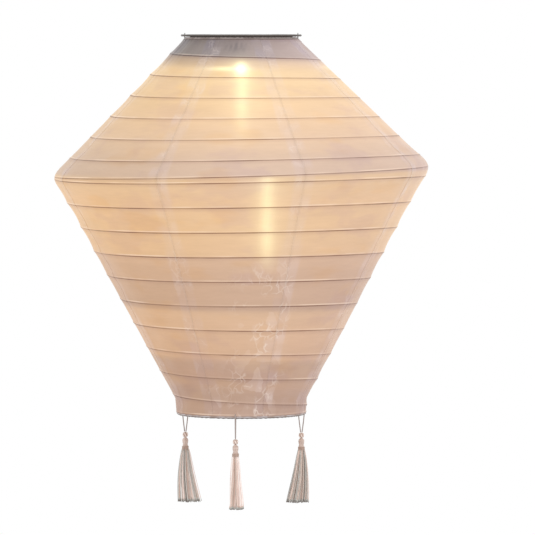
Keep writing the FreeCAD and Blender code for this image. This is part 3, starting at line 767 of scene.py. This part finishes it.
def paint_cloth(mesh, colour, crinkle, above, below):
    """Stores the light, the creases and the distances to the wires on the mesh."""
    count, columns = len(colour), GORE_COLUMNS
    lit = mesh.attributes.new("lit", "FLOAT_COLOR", "POINT")
    values = np.ones((2 * count, 4))
    values[:count, :3] = colour
    values[count:, :3] = colour
    lit.data.foreach_set("color", values.reshape(-1))
    mesh.attributes.new("crinkle", "FLOAT", "POINT").data.foreach_set("value", np.tile(crinkle, 2))
    cell = mesh.uv_layers.new(name="cell")
    corners = np.empty(len(mesh.loops), int)
    mesh.loops.foreach_get("vertex_index", corners)
    owner = np.repeat([p.index for p in mesh.polygons], [p.loop_total for p in mesh.polygons])
    row = (corners % count) // columns
    top_row = np.full(len(mesh.polygons), 10 ** 6)
    np.minimum.at(top_row, owner, row)
    top_row = top_row[owner]
    steps = len(CELL_SHARES)
    cell_end = (row == (top_row // steps + 1) * steps) & (row > top_row)
    index = corners % count
    span = above[index - columns * cell_end] + below[index - columns * cell_end]
    uv = np.stack([np.where(cell_end, span, above[index]), np.where(cell_end, 0.0, below[index])], -1)
    cell.data.foreach_set("uv", (uv / MM).reshape(-1))


def tidy_mesh(mesh):
    """Joins the rows that meet at the hems and where the spiral crosses the hoop."""
    work = bmesh.new()
    work.from_mesh(mesh)
    bmesh.ops.dissolve_degenerate(work, dist=0.00002, edges=work.edges)
    work.to_mesh(mesh)
    work.free()
    mesh.update()


for gore_number in range(1, GORE_COUNT + 1):
    shade_cloth(gore_number)


# --- The spiral and hoop wires -------------------------------------------------------------------
def tube_mesh(name, centres, radius, body, material, sides=8, closed=False):
    """A round tube along a line of points."""
    centres = np.asarray(centres)
    ahead = np.roll(centres, -1, 0) - np.roll(centres, 1, 0)
    if not closed:
        ahead[0] = centres[1] - centres[0]
        ahead[-1] = centres[-1] - centres[-2]
    ahead /= np.linalg.norm(ahead, axis=1)[:, None]
    up = np.array([0, 0, 1.0])
    side = np.cross(ahead, up)
    short = np.linalg.norm(side, axis=1) < 0.2
    side[short] = np.cross(ahead[short], np.array([1.0, 0, 0]))
    side /= np.linalg.norm(side, axis=1)[:, None]
    top = np.cross(side, ahead)
    turn = np.linspace(0, 2 * math.pi, sides, endpoint=False)
    radius = np.broadcast_to(radius, len(centres))[:, None, None]
    sideways = np.cos(turn)[None, :, None] * side[:, None]
    upwards = np.sin(turn)[None, :, None] * top[:, None]
    rings = centres[:, None] + radius * (sideways + upwards)
    count = len(centres)
    faces = grid_faces(count, sides, wrap=True)
    if closed:
        faces += closing_faces(count, sides)
    else:
        faces.append(tuple(range(sides)))
        faces.append(tuple(range((count - 1) * sides, count * sides))[::-1])
    return new_piece(name, rings.reshape(-1, 3), faces, body, material)


SPIRAL_WIRE = 1.0 * MM
SPIRAL_INSET = 1.35 * MM


def spiral_wire():
    first = (SPIRAL_END_MARGIN - SPIRAL_FIRST_FRONT) / SPIRAL_PITCH
    last = (TOTAL_SLANT - SPIRAL_END_MARGIN - SPIRAL_FIRST_FRONT) / SPIRAL_PITCH
    turns = np.linspace(first, last, 1400)
    angle = FULL_TURN * turns
    distance = wire_distance(turns, angle)
    dodge = 1.5 * MM * np.exp(-(((distance - SLANTS[0]) / (4 * HOOP_WIRE)) ** 2))
    centres = shade_points(distance, angle, SPIRAL_INSET + dodge + equator_inset(distance))
    wire = tube_mesh("spiral_wire", centres, SPIRAL_WIRE / 2, "shade", SPRING)
    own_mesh(wire)
    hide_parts("spiral_rib")


def hoop_wire():
    angle = np.linspace(0, 2 * math.pi, 240, endpoint=False)
    inset = HOOP_RADIUS - (hoop_high[0] - hoop_low[0]) / 2 + HOOP_WIRE / 2
    level = np.full_like(angle, SLANTS[0])
    centres = shade_points(level, angle, inset + equator_inset(level))
    wire = tube_mesh("hoop_wire", centres, HOOP_WIRE / 2, "shade", SPRING, closed=True)
    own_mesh(wire)
    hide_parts("equator_hoop")


spiral_wire()
hoop_wire()


# --- Hems ----------------------------------------------------------------------------------------
def add_tone(piece, values):
    """Stores how light each point of the piece is."""
    tone = np.asarray(values, float)
    piece.data.attributes.new("tone", "FLOAT", "POINT").data.foreach_set("value", tone)


HEM_STITCHES = 84


def rolled_hem(name, ring_radius, height, body, node, material):
    """Cloth rolled round a wire ring, puckered by its stitches."""
    count, sides = 420, 14
    angle = np.linspace(0, 2 * math.pi, count, endpoint=False)
    turn = np.linspace(0, 2 * math.pi, sides, endpoint=False)
    stitches = 0.10 * MM * np.sin(angle * HEM_STITCHES)[:, None]
    uneven = 0.07 * MM * waves(angle[:, None], turn[None, :] * 0.01, 5, 9, 20, 70)
    thick = HEM_RADIUS - 0.12 * MM + (stitches + uneven)
    reach = ring_radius + thick * np.cos(turn)[None, :]
    level = height + thick * np.sin(turn)[None, :]
    points = np.stack([reach * np.sin(angle)[:, None], -reach * np.cos(angle)[:, None], level], -1)
    faces = grid_faces(count, sides, wrap=True) + closing_faces(count, sides)
    hem = new_piece(name, points.reshape(-1, 3), faces, body, material)
    # Painted shade: the tone is low underneath the hem and high on the rest.
    add_tone(hem, np.tile(smooth(-0.75, -0.1, np.sin(turn)), count))
    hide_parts(node)
    return hem


rolled_hem("bottom_hem_roll", BOTTOM_RING, BOTTOM_HEIGHT, "bottom_rim", "bottom_hem", BOTTOM_HEM)
rolled_hem("top_hem_roll", TOP_RING, TOP_HEIGHT, "shade", "top_hem", TOP_HEM)


# --- Tassels -------------------------------------------------------------------------------------
def turned_piece(name, profile, centre, body, material, sides=28, ripple=0.0, ripple_count=0, twist=0.0):
    """A round piece from (radius, height) pairs, fluted where ripple says so, with painted light and shade on
    the fluting.
    """
    turn = np.linspace(0, 2 * math.pi, sides, endpoint=False)
    rings = []
    for number, (radius, height) in enumerate(profile):
        wavy = radius + ripple * np.cos(ripple_count * turn + twist * number)
        rings.append(np.stack([wavy * np.cos(turn), wavy * np.sin(turn), np.full(sides, height)], -1))
    points = np.concatenate(rings) + np.array(centre)
    faces = grid_faces(len(profile), sides, wrap=True, flip=True)
    faces.append(tuple(range(sides)))
    faces.append(tuple(range((len(profile) - 1) * sides, len(profile) * sides))[::-1])
    piece = new_piece(name, points, faces, body, material)
    # Painted light and shade: lighter on the fluting's ridges, darker in its grooves, with a random change
    # from row to row.
    flute_shading = 0.55 + 0.35 * np.cos(ripple_count * turn[None, :] + twist * np.arange(len(profile))[:, None])
    add_tone(piece, (flute_shading * rng.uniform(0.75, 1.1, len(profile))[:, None]).reshape(-1))
    return piece


HEAD_RADIUS = 2.3 * MM
HEAD_LENGTH = 11.0 * MM
HEAD_TOP = -KNOT_DROP - KNOT_RADIUS
BINDING_LENGTH = 3.0 * MM
BINDING_TURNS = 6
BINDING_THREAD_RADIUS = 0.27 * MM
SKIRT_LENGTH = 41.5 * MM
SKIRT_TOP = 2.6 * MM
SKIRT_DRIFT = 3.6 * MM
LOCKS = 17
STRANDS_PER_LOCK = 10
STRAND_RADIUS = 0.27 * MM
TUCKED_IN = 1.5 * MM
GOLDEN_ANGLE = 2.39996


def strand_skirt(number, centre, outward, along, spread, paleness):
    """Loose silky threads in locks that leave the binding together and hang apart, cut off level."""
    top = np.array(centre) - np.array([0, 0, KNOT_DROP + KNOT_RADIUS + HEAD_LENGTH - TUCKED_IN])
    length = SKIRT_LENGTH + TUCKED_IN
    outward, along = np.array(outward), np.array(along)
    share = np.linspace(0, 1, 15)
    vertices, faces, tones = [], [], []
    sides = 4
    turn = np.linspace(0, 2 * math.pi, sides, endpoint=False)
    for lock in range(LOCKS):
        lock_heading = lock * GOLDEN_ANGLE
        lock_reach = math.sqrt((lock + 0.5) / LOCKS)
        lock_tone = rng.uniform(0.30, 0.80) + paleness
        lock_phase = rng.uniform(0, 6.28)
        for _ in range(STRANDS_PER_LOCK):
            inner_x, inner_y = rng.normal(0, 0.13, 2)
            gather = 1.25 - 0.6 * share
            across = spread * (lock_reach * math.cos(lock_heading) * 0.9 + inner_x * gather)
            deep = spread * (lock_reach * math.sin(lock_heading) * 0.9 + inner_y * gather)
            open_out = (SKIRT_TOP / spread) + (1 - SKIRT_TOP / spread) * share ** 0.85
            wander = 0.45 * MM * np.sin(share * 6 + lock_phase) * share
            fall = length - abs(rng.normal(0, 0.5 * MM))
            centres = (
                top
                + np.outer(across * open_out + wander, along)
                + np.outer(deep * open_out - SKIRT_DRIFT * share ** 2, outward)
                + np.outer(-fall * share, [0, 0, 1])
            )
            width = STRAND_RADIUS * rng.uniform(0.8, 1.2)
            offset = len(vertices)
            for point in centres:
                vertices.extend(point + width * (math.cos(t) * outward + math.sin(t) * along) for t in turn)
            faces += grid_faces(len(centres), sides, offset, wrap=True)
            faces.append(tuple(range(offset, offset + sides))[::-1])
            tail = offset + (len(centres) - 1) * sides
            faces.append(tuple(range(tail, tail + sides)))
            base = np.clip(lock_tone + rng.normal(0, 0.2), 0.0, 1.0)
            tones.extend(np.repeat(base * (1 - 0.85 * smooth(0.93, 1.0, share)), sides))
    skirt = new_piece(f"tassel_skirt_{number}", vertices, faces, f"tassel_{number}", SKIRT_THREAD)
    add_tone(skirt, tones)
    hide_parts(f"tassel_{number}_skirt")


def tassel_knot(number, centre):
    body = f"tassel_{number}"
    profile = []
    for t in np.linspace(-1, 1, 13):
        radius = KNOT_RADIUS * math.sqrt(max(1 - t * t, 0.02)) * (1 + 0.06 * math.cos(9 * t))
        profile.append((radius, t * KNOT_RADIUS))
    middle = Vector(centre) - Vector((0, 0, KNOT_DROP))
    knot = turned_piece(f"tassel_knot_{number}", profile, middle, body, HEAD_THREAD, 36, 0.16 * MM, 6, 0.5)
    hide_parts(f"tassel_{number}_knot")


def tassel_head(number, centre):
    """The wound head, with a rounded shoulder and a slight waist."""
    body = f"tassel_{number}"
    rows = 64
    profile = []
    for row in range(rows + 1):
        share = row / rows
        shoulder = math.sqrt(min(1.0, share / 0.16 + 0.12))
        swell = 0.06 * math.exp(-((share - 0.25) / 0.12) ** 2)
        waist = 0.12 * math.exp(-((share - 0.5) / 0.06) ** 2)
        wound = 0.10 * MM * math.sin(row * math.pi / 2) - 0.1 * MM
        profile.append((HEAD_RADIUS * shoulder * (1 + swell - waist) + wound, HEAD_TOP - HEAD_LENGTH * share))
    head = turned_piece(f"tassel_head_{number}", profile[::-1], centre, body, HEAD_THREAD, 28, 0.05 * MM, 14)
    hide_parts(f"tassel_{number}_head")


def tassel_binding(number, centre):
    """Thread wound round the lower end of the head."""
    steps = np.linspace(0, BINDING_TURNS * FULL_TURN, BINDING_TURNS * 20)
    radius = HEAD_RADIUS + 0.25 * MM
    low = HEAD_TOP - HEAD_LENGTH + 1.25 * MM
    rise = (BINDING_LENGTH - 0.5 * MM) * steps / steps[-1]
    path = np.stack([radius * np.cos(steps), radius * np.sin(steps), low + rise], -1) + np.array(centre)
    name = f"tassel_binding_{number}"
    binding = tube_mesh(name, path, BINDING_THREAD_RADIUS, f"tassel_{number}", BINDING_THREAD, 6)
    add_tone(binding, np.full(len(binding.data.vertices), 0.6))
    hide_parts(f"tassel_{number}_binding")


# (spread of the skirt in mm, how much paler it is)
TASSEL_LOOKS = ((10.0, 0.0), (6.6, 0.22), (10.0, 0.0))
for tassel, (tassel_angle, (skirt_spread, pale)) in enumerate(zip(TASSEL_ANGLES, TASSEL_LOOKS), start=1):
    rim_centre, outward_way, rim_way = tassel_frame(tassel_angle)
    tassel_knot(tassel, rim_centre)
    tassel_head(tassel, rim_centre)
    tassel_binding(tassel, rim_centre)
    strand_skirt(tassel, rim_centre, outward_way, rim_way, skirt_spread * MM, pale)


# --- CAD pieces that keep their shape --------------------------------------------------------------
DARK = plastic_material("dark_housing", (0.090, 0.080, 0.075), 0.7)
DARK.node_tree.nodes["Principled BSDF"].inputs["Specular IOR Level"].default_value = 0.2
BLACKED = metal_material("blacked_wire", (0.17, 0.15, 0.14), 0.5)
GREY = plastic_material("grey_housing", (0.22, 0.215, 0.225))
NODE_MATERIALS = {
    "top_ring": STEEL, "bottom_ring": STEEL, "bail_handle": BLACKED,
    "stretcher_leg_left": STEEL, "stretcher_leg_right": STEEL,
    "housing_top": DARK, "housing_base": GREY, "battery_door": GREY,
    "housing_gasket": plastic_material("gasket_rubber", (0.02, 0.02, 0.02), 0.8),
    "housing_screws": metal_material("screw_steel", (0.6, 0.6, 0.62), 0.25),
    "solar_window": glass_material(),
    "solar_cell": cell_material(),
    "circuit_board": plastic_material("board_green", (0.03, 0.20, 0.09), 0.35, 700),
    "control_chip": plastic_material("chip_black", (0.02, 0.02, 0.02), 0.5),
    "switch_body": plastic_material("switch_black", (0.03, 0.03, 0.03), 0.5),
    "switch_slider": plastic_material("slider_black", (0.03, 0.03, 0.035), 0.45),
    "boost_coil": metal_material("coil_copper", (0.70, 0.34, 0.18), 0.35),
    "led": led_material(),
    "battery_cell": plastic_material("battery_sleeve", (0.08, 0.30, 0.14), 0.3, 500, 0.1),
    "battery_contact_positive": metal_material("contact_nickel", (0.75, 0.73, 0.68), 0.2),
    "battery_contact_negative": metal_material("contact_spring", (0.75, 0.73, 0.68), 0.2),
    "solar_lead_red": plastic_material("lead_red", (0.5, 0.02, 0.02), 0.5),
    "battery_lead_red": plastic_material("lead_red_battery", (0.5, 0.02, 0.02), 0.5),
    "solar_lead_black": plastic_material("lead_black", (0.02, 0.02, 0.02), 0.5),
    "battery_lead_black": plastic_material("lead_black_battery", (0.02, 0.02, 0.02), 0.5),
}
for node_name, node_material in NODE_MATERIALS.items():
    node_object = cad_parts[node_name]
    for material_slot in node_object.material_slots:
        material_slot.material = node_material
